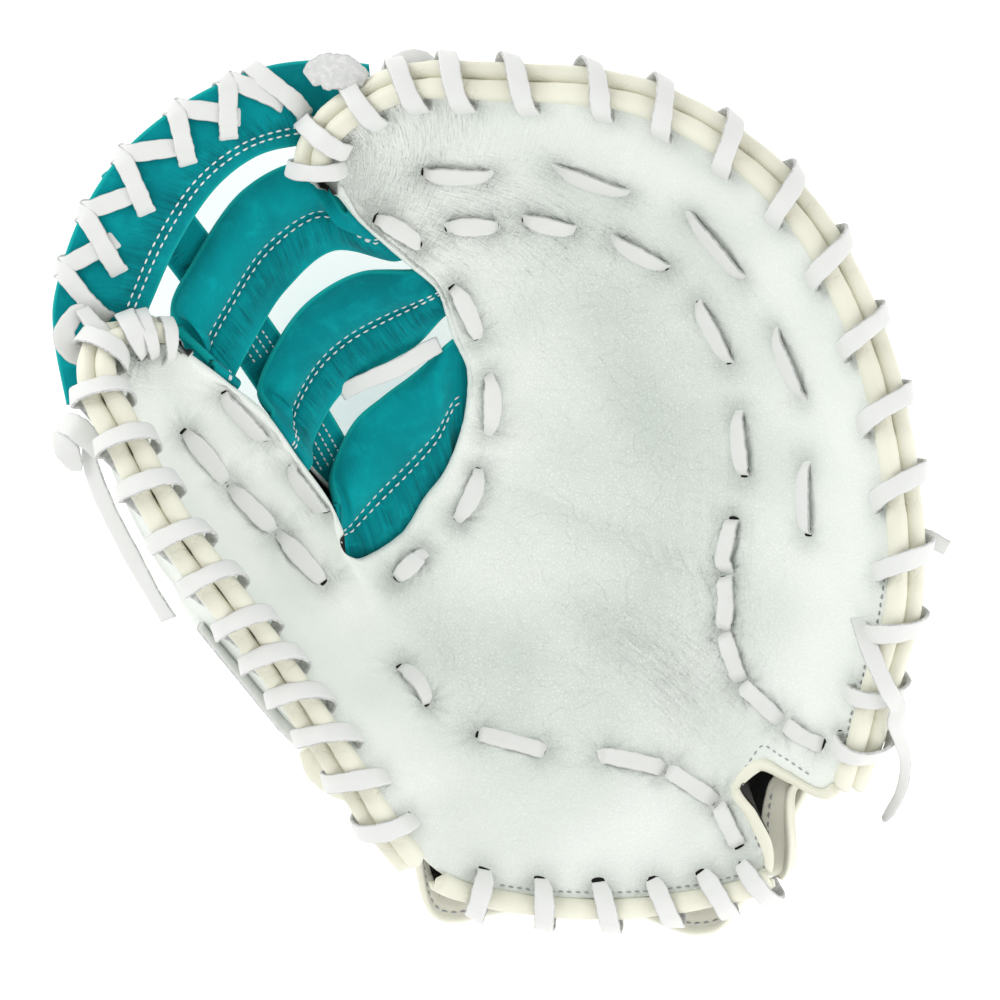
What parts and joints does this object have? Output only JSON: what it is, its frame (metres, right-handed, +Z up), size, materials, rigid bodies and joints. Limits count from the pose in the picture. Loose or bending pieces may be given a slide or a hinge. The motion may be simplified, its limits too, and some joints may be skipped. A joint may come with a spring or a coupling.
{
  "type": "first baseman mitt",
  "caption": "First baseman mitt lying palm up: padded white palm, teal barred web, cream welted rim, white lacing and an open hand space.",
  "frame": {"origin": "middle of the flattened patch of the back leather that the mitt rests on", "axes": "+Z up, off the palm; +Y from the heel towards the finger tip; +X from the thumb side towards the finger side"},
  "size_m": [0.3002, 0.3068, 0.1071],
  "materials": {
    "palm_leather": "pebbled white leather",
    "back_leather": "smooth white leather",
    "roll_leather": "satin cream leather roll",
    "strap_leather": "smooth cream leather",
    "lace_leather": "rawhide lace with a suede underside",
    "web_leather": "teal suede with white stitching",
    "lining_cloth": "black lining",
    "strap_fur": "short dark pile"
  },
  "bodies": {
    "root": {"rim_lace_thumb": "lace_leather", "rim_lace_finger": "lace_leather", "rim_lace_heel": "lace_leather", "lace_finger_row": "lace_leather", "lace_crease_top": "lace_leather", "lace_crease_chain": "lace_leather", "lace_web_edge": "lace_leather", "lace_heel_chain": "lace_leather", "lace_thumb_row": "lace_leather", "lace_thumb_web": "lace_leather", "lace_thumb_crease": "lace_leather", "web_bar_upper": "web_leather", "web_bar_middle": "web_leather", "web_bar_lower": "web_leather", "web_rim_lace": "lace_leather", "web_outer_band": "web_leather", "web_post": "web_leather", "palm_shell": "palm_leather", "wrist_strap": "strap_leather", "strap_fur": "strap_fur", "hand_lining": "lining_cloth", "side_knot": "lace_leather", "thumb_strap": "lace_leather", "pull_roll": "lace_leather", "pull_lace": "lace_leather", "corner_lace": "lace_leather", "side_tail": "lace_leather", "tip_end_thumb": "lace_leather", "tip_end_finger": "lace_leather", "side_end_finger": "lace_leather", "back_shell": "back_leather", "thumb_roll_front": "roll_leather", "thumb_roll_back": "roll_leather", "finger_roll_front": "roll_leather", "finger_roll_back": "roll_leather", "heel_roll": "roll_leather", "heel_binding": "roll_leather", "notch_binding": "roll_leather"}
  },
  "joints": []
}
